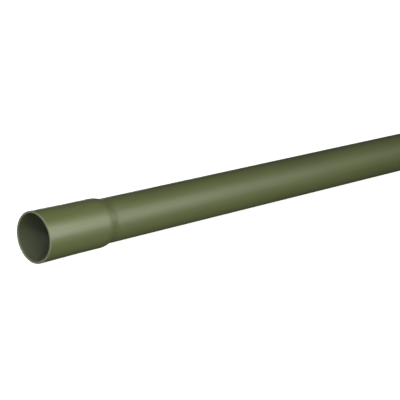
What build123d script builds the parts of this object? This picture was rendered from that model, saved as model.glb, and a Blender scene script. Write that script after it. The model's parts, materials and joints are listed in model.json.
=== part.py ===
"""Rigid PVC electrical conduit: one straight length of thin-walled tube with a socket formed on one end.

The tube lies along X on a level floor. The socket's mouth is at -X and the plain end at +X.
The origin is on the floor, under the middle of the length. All sizes are in millimetres.
"""

from build123d import *

import os

# Stock sizes, trade size 3/4
stock_length = 3000.0
tube_diameter = 26.7
tube_wall = 1.52

# Socket, formed by expanding the warm end of the tube over a mandrel
flare_length = 28.0
flare_height = 0.33
seat_length = 15.2
seat_clearance = 0.1
socket_wall = 1.28
shoulder_length = 10.6

# End finishing
mouth_round = 0.25
mouth_deburr = 0.2
spigot_bevel_length = 1.5
spigot_bevel_height = 0.6
bore_deburr = 0.3

# Radii that follow from the sizes above
tube_radius = tube_diameter / 2
bore_radius = tube_radius - tube_wall
seat_radius = tube_radius + seat_clearance
bell_radius = seat_radius + socket_wall
mouth_radius = bell_radius + flare_height

# Distances from the mouth: the flare, then the straight seat, then the shoulder down to the plain tube
seat_end = flare_length + seat_length
shoulder_end = seat_end + shoulder_length

# The tube's axis, starting at the mouth. The mouth is the widest part, so it is what touches the floor
tube_plane = Plane(origin=(-stock_length / 2, 0, mouth_radius), x_dir=(1, 0, 0), z_dir=(0, -1, 0))
tube_axis = Axis(tube_plane.origin, tube_plane.x_dir)


def socket_line(wide_radius, narrow_radius):
    """Draw one side of the socket's wall, from its flared mouth to the plain tube.

    The shoulder is S-shaped: two arcs that are tangent to the seat, to the tube and to each other.
    """
    seat_point = (seat_end, wide_radius)
    tube_point = (shoulder_end, narrow_radius)
    middle_point = ((seat_end + shoulder_end) / 2, (wide_radius + narrow_radius) / 2)
    Polyline((0, wide_radius + flare_height), (flare_length, wide_radius), seat_point)
    TangentArc(seat_point, middle_point, tangent=(1, 0))
    TangentArc(tube_point, middle_point, tangent=(-1, 0))


with BuildPart() as conduit:
    # Half section of the wall, with x along the tube from the mouth and y outwards from the axis
    with BuildSketch(tube_plane):
        with BuildLine():
            socket_line(bell_radius, tube_radius)
            Line((shoulder_end, tube_radius), (stock_length, tube_radius))
            Line((stock_length, tube_radius), (stock_length, bore_radius))
            Line((stock_length, bore_radius), (shoulder_end, bore_radius))
            socket_line(seat_radius, bore_radius)
            Line((0, seat_radius + flare_height), (0, mouth_radius))
        make_face()
    revolve(axis=tube_axis)

    # The mouth is rounded outside and deburred inside
    mouth_face = conduit.faces().filter_by(GeomType.PLANE).sort_by(Axis.X)[0]
    mouth_outer = mouth_face.edges().sort_by(SortBy.RADIUS)[-1]
    fillet(mouth_outer, radius=mouth_round)
    mouth_face = conduit.faces().filter_by(GeomType.PLANE).sort_by(Axis.X)[0]
    mouth_inner = mouth_face.edges().sort_by(SortBy.RADIUS)[0]
    chamfer(mouth_inner, length=mouth_deburr)

    # The plain end is bevelled outside to start in a socket, and deburred inside so that it can't cut a cable
    spigot_face = conduit.faces().filter_by(GeomType.PLANE).sort_by(Axis.X)[-1]
    spigot_outer = spigot_face.edges().sort_by(SortBy.RADIUS)[-1]
    chamfer(spigot_outer, length=spigot_bevel_height, length2=spigot_bevel_length, reference=spigot_face)
    spigot_face = conduit.faces().filter_by(GeomType.PLANE).sort_by(Axis.X)[-1]
    spigot_inner = spigot_face.edges().sort_by(SortBy.RADIUS)[0]
    chamfer(spigot_inner, length=bore_deburr)

conduit.part.label = "conduit"

os.makedirs("parts", exist_ok=True)
export_step(conduit.part, "parts/conduit.step")
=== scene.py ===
import json
import math

import bmesh
import bpy
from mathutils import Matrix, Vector


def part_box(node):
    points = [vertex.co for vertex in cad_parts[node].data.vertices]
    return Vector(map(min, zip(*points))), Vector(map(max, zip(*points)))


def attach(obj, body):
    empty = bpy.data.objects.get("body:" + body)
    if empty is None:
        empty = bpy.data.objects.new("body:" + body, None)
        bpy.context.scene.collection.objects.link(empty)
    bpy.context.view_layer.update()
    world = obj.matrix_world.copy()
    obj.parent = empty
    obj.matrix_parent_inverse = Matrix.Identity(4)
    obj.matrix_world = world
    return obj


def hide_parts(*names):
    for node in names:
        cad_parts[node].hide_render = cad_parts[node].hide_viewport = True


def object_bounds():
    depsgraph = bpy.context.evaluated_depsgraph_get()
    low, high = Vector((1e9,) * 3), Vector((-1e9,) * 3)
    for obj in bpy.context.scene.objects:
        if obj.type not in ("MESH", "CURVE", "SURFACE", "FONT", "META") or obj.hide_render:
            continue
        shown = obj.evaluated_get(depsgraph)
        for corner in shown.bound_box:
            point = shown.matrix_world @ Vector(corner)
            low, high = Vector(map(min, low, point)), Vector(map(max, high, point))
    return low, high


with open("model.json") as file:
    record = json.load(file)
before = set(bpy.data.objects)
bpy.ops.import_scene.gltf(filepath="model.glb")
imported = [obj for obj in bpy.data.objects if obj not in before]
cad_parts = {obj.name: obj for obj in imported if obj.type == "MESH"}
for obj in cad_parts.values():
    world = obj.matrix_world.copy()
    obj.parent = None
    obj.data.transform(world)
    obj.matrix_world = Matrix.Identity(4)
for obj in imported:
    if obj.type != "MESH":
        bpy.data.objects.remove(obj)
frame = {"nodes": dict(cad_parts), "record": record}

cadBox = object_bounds()
mounts = {mount["name"]: mount for mount in frame["record"]["mounts"]}
millimetre = 0.001
print("frame loaded:", ", ".join(frame["nodes"]))


# Conduit: one turned wall with its socket
conduitShape = {
    "sides": 160,                          # facets round the tube, a multiple of 4
    "flareHeight": 0.33 * millimetre,      # how much the mouth opens, in radius
    "shoulderInset": 1.3 * millimetre,     # from the seat's end to the shoulder
    "shoulderLength": 8.0 * millimetre,
    "shoulderSegments": 10,                # for each of its two arcs
    "mouthRound": 0.25 * millimetre,       # outer edge of the mouth
    "mouthSegments": 6,
    "mouthDeburr": 0.2 * millimetre,
    "spigotBevelLength": 1.5 * millimetre,
    "spigotBevelHeight": 0.6 * millimetre,
    "boreDeburr": 0.3 * millimetre,
    "edgeRound": 0.06 * millimetre,        # softening of every other cut edge
    "edgeSegments": 3,
    "edgeHold": 0.8 * millimetre,          # rings beside the rounded ends keep the shading straight
    "ringSpacing": 50 * millimetre,        # longest span of wall between two rings
    "mergeDistance": 0.001 * millimetre,
    "sharpAngle": 35,                      # degrees, past which an edge isn't shaded smooth
}


def roundCorners(bm, corners, offset, segments):
    bmesh.ops.bevel(bm, geom=corners, offset=offset, offset_type="OFFSET", segments=segments,
                    profile=0.5, affect="VERTICES", material=-1, clamp_overlap=False)


def measureWall(shape):
    low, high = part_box("conduit")
    socket = mounts["socket"]
    seatHalf = socket["dims"]["length_mm"] * millimetre / 2
    wall = {
        "axisZ": (low.z + high.z) / 2,
        "bellRadius": (high.z - low.z) / 2 - shape["flareHeight"],
        "tubeRadius": mounts["spigot"]["dims"]["r_mm"] * millimetre,
        "boreRadius": mounts["wireway"]["dims"]["r_mm"] * millimetre,
        "seatRadius": socket["dims"]["r_mm"] * millimetre,
        "seatStart": socket["pos_m"][0] - seatHalf,
        "seatEnd": socket["pos_m"][0] + seatHalf,
    }
    wall["shoulderStart"] = wall["seatEnd"] + shape["shoulderInset"]
    wall["shoulderEnd"] = wall["shoulderStart"] + shape["shoulderLength"]
    wall["bellMiddle"] = (wall["bellRadius"] + wall["seatRadius"]) / 2
    wall["tubeMiddle"] = (wall["tubeRadius"] + wall["boreRadius"]) / 2
    return wall


def makeConduit(shape, wall):
    low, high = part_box("conduit")
    axisZ = wall["axisZ"]
    bellRadius = wall["bellRadius"]
    tubeRadius = wall["tubeRadius"]
    boreRadius = wall["boreRadius"]
    seatRadius = wall["seatRadius"]
    seatStart = wall["seatStart"]
    shoulderStart = wall["shoulderStart"]
    shoulderEnd = wall["shoulderEnd"]

    def tangentLength(rise):               # from an arc's end to the corner that it rounds
        run = shape["shoulderLength"] / 2
        return (run ** 2 + (rise / 2) ** 2) / (2 * run)

    outerTangent = tangentLength(bellRadius - tubeRadius)
    innerTangent = tangentLength(seatRadius - boreRadius)
    bm = bmesh.new()

    def corner(x, radius):
        return bm.verts.new((x, 0, axisZ + radius))

    # Section of the wall, from the mouth along the outside and back along the bore
    mouthOuter = corner(low.x, bellRadius + shape["flareHeight"])
    outerFlare = corner(seatStart, bellRadius)
    outerShoulder = [
        corner(shoulderStart + outerTangent, bellRadius),
        corner(shoulderEnd - outerTangent, tubeRadius),
    ]
    spigot = [
        corner(high.x - shape["spigotBevelLength"], tubeRadius),
        corner(high.x, tubeRadius - shape["spigotBevelHeight"]),
        corner(high.x, boreRadius + shape["boreDeburr"]),
        corner(high.x - shape["boreDeburr"], boreRadius),
    ]
    innerShoulder = [
        corner(shoulderEnd - innerTangent, boreRadius),
        corner(shoulderStart + innerTangent, seatRadius),
    ]
    innerFlare = corner(seatStart, seatRadius)
    mouthInner = [
        corner(low.x + shape["mouthDeburr"], seatRadius + shape["flareHeight"]),
        corner(low.x, seatRadius + shape["flareHeight"] + shape["mouthDeburr"]),
    ]
    outline = [mouthOuter, outerFlare, *outerShoulder, *spigot, *innerShoulder, innerFlare, *mouthInner]
    for start, end in zip(outline, outline[1:] + outline[:1]):
        bm.edges.new((start, end))

    roundCorners(bm, outerShoulder, outerTangent, shape["shoulderSegments"])
    roundCorners(bm, innerShoulder, innerTangent, shape["shoulderSegments"])
    roundCorners(bm, [mouthOuter], shape["mouthRound"], shape["mouthSegments"])
    roundCorners(bm, spigot + mouthInner, shape["edgeRound"], shape["edgeSegments"])
    bmesh.ops.remove_doubles(bm, verts=bm.verts, dist=shape["mergeDistance"])

    bmesh.ops.spin(bm, geom=bm.verts[:] + bm.edges[:], cent=(0, 0, axisZ), axis=(1, 0, 0),
                   angle=2 * math.pi, steps=shape["sides"], use_merge=True)
    bmesh.ops.remove_doubles(bm, verts=bm.verts, dist=shape["mergeDistance"])

    # Rings along the wall, close together at the two ends and at the shoulder
    hold = shape["edgeHold"]
    rings = [low.x + hold, shoulderStart - hold, shoulderEnd + hold,
             high.x - shape["spigotBevelLength"] - hold]
    spans = math.ceil((high.x - shoulderEnd) / shape["ringSpacing"])
    rings += [shoulderEnd + (high.x - shoulderEnd) * i / spans for i in range(1, spans)]
    for x in rings:
        bmesh.ops.bisect_plane(bm, geom=bm.verts[:] + bm.edges[:] + bm.faces[:],
                               dist=shape["mergeDistance"], plane_co=(x, 0, 0), plane_no=(1, 0, 0))
    bmesh.ops.recalc_face_normals(bm, faces=bm.faces)

    mesh = bpy.data.meshes.new("conduitWall")
    bm.to_mesh(mesh)
    bm.free()
    mesh.shade_smooth()
    mesh.set_sharp_from_angle(angle=math.radians(shape["sharpAngle"]))
    piece = bpy.data.objects.new("conduit_wall", mesh)
    bpy.context.collection.objects.link(piece)
    print("conduit wall:", len(mesh.polygons), "faces")
    return piece


# PVC skin: a satin olive with the marks of its making, all patterns in metres on Object coordinates
pvcFinish = {
    "deep": (0.093, 0.115, 0.039, 1),      # the plastic between its paler streaks
    "pale": (0.108, 0.131, 0.047, 1),
    "clouds": {"scale": (14, 45, 45), "detail": 3},            # slow drift of the pigment
    "dieLines": {"scale": (7, 620, 620), "detail": 4},         # streaks that the die draws along the tube
    "hairlines": {"scale": (24, 2600, 2600), "detail": 2},
    "streakRange": (0.75, 1.25),           # of clouds and die lines together, from deep to pale

    "scuff": (0.165, 0.185, 0.100, 1),     # rubbed or scratched plastic
    "scratches": {"scale": (38, 1500, 900), "detail": 2, "turn": (0, 0.10, 0.16)},
    "scratchRange": (0.66, 0.74),
    "scratchPatches": {"scale": (24, 60, 60), "detail": 2},
    "scratchPatchRange": (0.52, 0.72),
    "scratchAmount": 0.35,
    "wearSpots": {"scale": (1900, 1900, 1900), "detail": 4},
    "wearSpotRange": (0.42, 0.62),
    "edgeWear": 0.45,                      # of the mouth's outer edge
    "edgeWearReach": 1.6 * millimetre,

    "grime": (0.062, 0.071, 0.023, 1),     # painted shade, darkening the crease at the shoulder
    "grimeAmount": 0.75,
    "grimeReach": 2 * millimetre,          # past both ends of the shoulder
    "grimeRange": (0.35, 0.6),             # clouds that thin it
    "grimeThinnest": 0.6,

    "dust": (0.098, 0.107, 0.085, 1),      # grey film inside the bore
    "dustDepth": (1 * millimetre, 20 * millimetre),
    "dustAmount": (0.5, 1.0),              # at the mouth and past that depth
    "dustRange": (0.3, 0.6),               # clouds that thin it
    "dustThinnest": 0.8,

    "sawn": (0.235, 0.255, 0.160, 1),      # whitened by the saw on the two end faces
    "sawnReach": (0.05 * millimetre, 0.28 * millimetre),
    "sawStrokes": {"scale": (900, 700, 5200), "detail": 3},    # run across the end faces
    "sawRange": (0.25, 0.75),
    "sawThinnest": 0.7,

    "roughness": (0.40, 0.44),
    "roughnessRange": (0.7, 1.3),          # of hairlines and clouds together
    "tubeRoughness": 0.04,                 # added past the bell, which the hot mandrel left glossier
    "mouthGloss": 0.04,                    # less rough towards the mouth
    "mouthGlossReach": 30 * millimetre,
    "scuffRoughness": 0.12,                # added where it is rubbed or sawn
    # roughness added under the painted shade at the shoulder
    "grimeRoughness": 0.09,
    "grain": {"scale": (1900, 1900, 1900), "detail": 3},
    "grainRelief": 0.006 * millimetre,
    "dieLineRelief": 0.012 * millimetre,
    "ior": 1.54,
    "specular": 0.7,
}


def calc(tree, operation, first, second):
    node = tree.nodes.new("ShaderNodeMath")
    node.operation = operation
    for socket, value in zip(node.inputs, (first, second)):
        if isinstance(value, (int, float)):
            socket.default_value = value
        else:
            tree.links.new(value, socket)
    return node.outputs[0]


def spread(tree, value, start, end, low=0.0, high=1.0):
    node = tree.nodes.new("ShaderNodeMapRange")
    tree.links.new(value, node.inputs["Value"])
    for name, setting in (("From Min", start), ("From Max", end), ("To Min", low), ("To Max", high)):
        node.inputs[name].default_value = setting
    return node.outputs["Result"]


def noise(tree, place, scale, detail, turn=(0, 0, 0)):
    mapping = tree.nodes.new("ShaderNodeMapping")
    mapping.inputs["Scale"].default_value = scale
    mapping.inputs["Rotation"].default_value = turn
    tree.links.new(place, mapping.inputs["Vector"])
    node = tree.nodes.new("ShaderNodeTexNoise")
    node.inputs["Scale"].default_value = 1
    node.inputs["Detail"].default_value = detail
    tree.links.new(mapping.outputs["Vector"], node.inputs["Vector"])
    return node.outputs["Fac"]


def blend(tree, amount, first, second):
    node = tree.nodes.new("ShaderNodeMix")
    node.data_type = "RGBA"
    tree.links.new(amount, node.inputs["Factor"])
    for socket, value in ((node.inputs["A"], first), (node.inputs["B"], second)):
        if isinstance(value, tuple):
            socket.default_value = value
        else:
            tree.links.new(value, socket)
    return node.outputs["Result"]


def makePvc(finish, wall):
    material = bpy.data.materials.new("olivePvc")
    material.use_nodes = True
    tree = material.node_tree
    shader = tree.nodes["Principled BSDF"]
    shader.inputs["IOR"].default_value = finish["ior"]
    shader.inputs["Specular IOR Level"].default_value = finish["specular"]
    place = tree.nodes.new("ShaderNodeTexCoord").outputs["Object"]
    axes = tree.nodes.new("ShaderNodeSeparateXYZ")
    tree.links.new(place, axes.inputs[0])
    along = axes.outputs["X"]
    mouth, plainEnd = cadBox[0].x, cadBox[1].x
    shoulderStart, shoulderEnd = wall["shoulderStart"], wall["shoulderEnd"]
    shoulderMiddle = (shoulderStart + shoulderEnd) / 2

    # Pigment clouds, die lines and hairlines
    clouds = noise(tree, place, **finish["clouds"])
    dieLines = noise(tree, place, **finish["dieLines"])
    hairlines = noise(tree, place, **finish["hairlines"])
    streaks = calc(tree, "ADD", dieLines, clouds)
    colour = blend(tree, spread(tree, streaks, *finish["streakRange"]), finish["deep"], finish["pale"])

    # Scratches from handling, in patches
    scratches = spread(tree, noise(tree, place, **finish["scratches"]), *finish["scratchRange"])
    patches = spread(tree, noise(tree, place, **finish["scratchPatches"]), *finish["scratchPatchRange"])
    scuffs = calc(tree, "MULTIPLY", calc(tree, "MULTIPLY", scratches, patches), finish["scratchAmount"])

    # The mouth's edge is rubbed, in broken spots
    nearMouth = spread(tree, along, mouth + finish["edgeWearReach"], mouth, 0, finish["edgeWear"])
    spots = spread(tree, noise(tree, place, **finish["wearSpots"]), *finish["wearSpotRange"])
    scuffs = calc(tree, "MAXIMUM", scuffs, calc(tree, "MULTIPLY", nearMouth, spots))
    colour = blend(tree, scuffs, colour, finish["scuff"])

    # Painted shade round the shoulder, darkening its crease, deepest at its middle
    rise = spread(tree, along, shoulderStart - finish["grimeReach"], shoulderMiddle)
    fall = spread(tree, along, shoulderEnd + finish["grimeReach"], shoulderMiddle)
    grime = calc(tree, "MULTIPLY", calc(tree, "MULTIPLY", rise, fall), finish["grimeAmount"])
    paintedShadeClouds = spread(tree, clouds, *finish["grimeRange"], finish["grimeThinnest"], 1)
    grime = calc(tree, "MULTIPLY", grime, paintedShadeClouds)
    colour = blend(tree, grime, colour, finish["grime"])

    # Dust inside the bore, thinner towards the mouth; the middle of the wall parts inside from outside
    toAxis = tree.nodes.new("ShaderNodeMapping")
    toAxis.inputs["Location"].default_value = (0, 0, -wall["axisZ"])
    toAxis.inputs["Scale"].default_value = (0, 1, 1)
    tree.links.new(place, toAxis.inputs["Vector"])
    radius = tree.nodes.new("ShaderNodeVectorMath")
    radius.operation = "LENGTH"
    tree.links.new(toAxis.outputs["Vector"], radius.inputs[0])
    middle = spread(tree, along, shoulderStart, shoulderEnd, wall["bellMiddle"], wall["tubeMiddle"])
    inside = calc(tree, "LESS_THAN", radius.outputs["Value"], middle)
    shallow, deep = finish["dustDepth"]
    film = spread(tree, along, mouth + shallow, mouth + deep, *finish["dustAmount"])
    dustClouds = spread(tree, clouds, *finish["dustRange"], finish["dustThinnest"], 1)
    film = calc(tree, "MULTIPLY", film, dustClouds)
    colour = blend(tree, calc(tree, "MULTIPLY", inside, film), colour, finish["dust"])

    # Sawn end faces
    full, none = finish["sawnReach"]
    sawnMouth = spread(tree, along, mouth + none, mouth + full)
    sawnPlain = spread(tree, along, plainEnd - none, plainEnd - full)
    sawStrokes = noise(tree, place, **finish["sawStrokes"])
    sawStrokes = spread(tree, sawStrokes, *finish["sawRange"], finish["sawThinnest"], 1)
    sawn = calc(tree, "MULTIPLY", calc(tree, "MAXIMUM", sawnMouth, sawnPlain), sawStrokes)
    colour = blend(tree, sawn, colour, finish["sawn"])
    tree.links.new(colour, shader.inputs["Base Color"])

    # Roughness, and what each place adds to it
    handled = calc(tree, "ADD", hairlines, clouds)
    roughness = spread(tree, handled, *finish["roughnessRange"], *finish["roughness"])
    pastBell = spread(tree, along, shoulderStart, shoulderEnd, 0, finish["tubeRoughness"])
    glossEnd = mouth + finish["mouthGlossReach"]
    atMouth = spread(tree, along, mouth, glossEnd, -finish["mouthGloss"], 0)
    # rougher where the shade at the shoulder is painted
    atShoulder = calc(tree, "MULTIPLY", grime, finish["grimeRoughness"])
    rubbed = calc(tree, "MULTIPLY", calc(tree, "MAXIMUM", scuffs, sawn), finish["scuffRoughness"])
    for added in (pastBell, atMouth, atShoulder, rubbed):
        roughness = calc(tree, "ADD", roughness, added)
    tree.links.new(roughness, shader.inputs["Roughness"])

    # Relief of the die lines and of the grain
    lines = calc(tree, "MULTIPLY", calc(tree, "ADD", dieLines, hairlines), finish["dieLineRelief"])
    grain = calc(tree, "MULTIPLY", noise(tree, place, **finish["grain"]), finish["grainRelief"])
    bump = tree.nodes.new("ShaderNodeBump")
    bump.inputs["Distance"].default_value = 1
    tree.links.new(calc(tree, "ADD", lines, grain), bump.inputs["Height"])
    tree.links.new(bump.outputs["Normal"], shader.inputs["Normal"])
    print("olive plastic:", len(tree.nodes), "nodes")
    return material


# Floor: white to the eye apart from the shadow, and a dark grey in the light that it sends back
floorLook = {
    "size": 60,                            # metres
    "seenGrey": 0.8,                       # paint as the camera sees it
    "bounceGrey": 0.06,                    # paint as the object sees it
    "seenWhite": 0.95,
    "inReflections": 0.03,
}


def whiteToEye(tree, reflections):
    path = tree.nodes.new("ShaderNodeLightPath")
    direct = calc(tree, "ADD", path.outputs["Is Camera Ray"], path.outputs["Is Transmission Ray"])
    mirrored = calc(tree, "MULTIPLY", path.outputs["Is Glossy Ray"], reflections)
    return calc(tree, "ADD", direct, mirrored)


def makeFloor(look):
    bm = bmesh.new()
    bmesh.ops.create_grid(bm, x_segments=1, y_segments=1, size=look["size"] / 2)
    mesh = bpy.data.meshes.new("floor")
    bm.to_mesh(mesh)
    bm.free()
    floor = bpy.data.objects.new("floor", mesh)
    bpy.context.collection.objects.link(floor)
    material = bpy.data.materials.new("paleFloor")
    material.use_nodes = True
    tree = material.node_tree
    tree.nodes.clear()
    output = tree.nodes.new("ShaderNodeOutputMaterial")
    both = tree.nodes.new("ShaderNodeAddShader")
    paint = tree.nodes.new("ShaderNodeBsdfDiffuse")
    seen = tree.nodes.new("ShaderNodeLightPath").outputs["Is Camera Ray"]
    tone = spread(tree, seen, 0, 1, look["bounceGrey"], look["seenGrey"])
    tree.links.new(tone, paint.inputs["Color"])
    glow = tree.nodes.new("ShaderNodeEmission")
    level = calc(tree, "MULTIPLY", whiteToEye(tree, look["inReflections"]), look["seenWhite"])
    tree.links.new(level, glow.inputs["Strength"])
    tree.links.new(paint.outputs[0], both.inputs[0])
    tree.links.new(glow.outputs[0], both.inputs[1])
    tree.links.new(both.outputs[0], output.inputs["Surface"])
    mesh.materials.append(material)
    return floor


# World: white to the eye, and a weak even light on the object
worldLook = {
    "ambient": 0.08,
    "inReflections": 0.03,
}


def makeWorld(look):
    world = bpy.data.worlds.new("studio")
    bpy.context.scene.world = world
    world.use_nodes = True
    tree = world.node_tree
    background = tree.nodes["Background"]
    level = calc(tree, "MAXIMUM", whiteToEye(tree, look["inReflections"]), look["ambient"])
    tree.links.new(level, background.inputs["Strength"])
    background.inputs["Color"].default_value = (1, 1, 1, 1)
    return world


# Lamps, placed from the middle of the mouth: five round the socket, a narrow beam along the tube that
# brightens the shoulder, two strips over the rest and two low behind
mouthCentre = Vector((cadBox[0].x, 0, cadBox[1].z / 2))
lampDefaults = {
    "aim": (0.1, 0, 0),
    "colour": (1, 1, 1),
    "spread": 180,                         # degrees
}
lampSetup = {
    "sheen": {"from": (0.534, -0.562, 0.313), "size": (0.08, 0.698), "watts": 1.97,
              "colour": (1, 0.99, 0.89)},
    "mouthSide": {"from": (-0.190, -0.071, 0.179), "size": (0.060, 0.040), "watts": 0.350},
    "front": {"from": (-0.048, -0.179, 0.074), "size": (0.101, 0.081), "watts": 0.145},
    "lowRight": {"from": (0.137, -0.451, 0.009), "size": (0.343, 0.040), "watts": 0.939},
    "lowLeft": {"from": (-0.307, -0.416, 0.009), "size": (0.060, 0.040), "watts": 0.635},
    "endOn": {"from": (6.0, -0.10, 0.45), "aim": (0.048, 0, 0), "size": (0.2, 0.1), "watts": 0.013,
              "spread": 2.5, "colour": (0.94, 0.97, 0.74)},
    "nearStrip": {"from": (1.8, -0.5, 0.5), "aim": (1.8, 0, 0), "size": (2.5, 0.3), "watts": 2,
                  "spread": 40},
    "farStrip": {"from": (1.8, 0.5, 0.5), "aim": (1.8, 0, 0), "size": (2.5, 0.3), "watts": 2,
                 "spread": 40},
    "back": {"from": (0.7, 1.2, 0.03), "aim": (0.7, 0, 0), "size": (1.6, 0.06), "watts": 3},
    "socketBack": {"from": (0.15, 0.6, 0.02), "aim": (0.15, 0, 0), "size": (0.5, 0.04), "watts": 2},
}


def makeLamp(name, setup):
    data = bpy.data.lights.new(name, "AREA")
    data.shape = "ELLIPSE"
    data.size, data.size_y = setup["size"]
    data.energy = setup["watts"]
    data.color = setup["colour"]
    data.spread = math.radians(setup["spread"])
    lamp = bpy.data.objects.new(name, data)
    bpy.context.collection.objects.link(lamp)
    lamp.location = mouthCentre + Vector(setup["from"])
    way = Vector(setup["aim"]) - Vector(setup["from"])
    lamp.rotation_euler = way.to_track_quat("-Z", "Y").to_euler()
    return lamp


# Camera at the photograph's viewing angle
cameraSetup = {
    "from": (-0.4529, -0.5702, 0.1906),    # from the middle of the mouth
    "yaw": 45.777,                         # degrees from +Y towards +X
    "pitch": 13.179,                       # degrees down
    "lens": 120.68,
    "clipEnd": 100,                        # metres
}


def makeCamera(setup):
    data = bpy.data.cameras.new("camera")
    data.lens = setup["lens"]
    data.clip_end = setup["clipEnd"]
    camera = bpy.data.objects.new("camera", data)
    bpy.context.collection.objects.link(camera)
    camera.location = mouthCentre + Vector(setup["from"])
    camera.rotation_euler = (math.radians(90 - setup["pitch"]), 0, math.radians(-setup["yaw"]))
    bpy.context.scene.camera = camera
    return camera


conduitWall = measureWall(conduitShape)
conduit = makeConduit(conduitShape, conduitWall)
conduit.data.materials.append(makePvc(pvcFinish, conduitWall))
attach(conduit, "root")
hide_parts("conduit")

makeFloor(floorLook)
makeWorld(worldLook)
for lampName, lampPlace in lampSetup.items():
    makeLamp(lampName, lampDefaults | lampPlace)
makeCamera(cameraSetup)
bpy.context.scene.view_settings.view_transform = "Standard"
print("stage, lamps and camera placed")
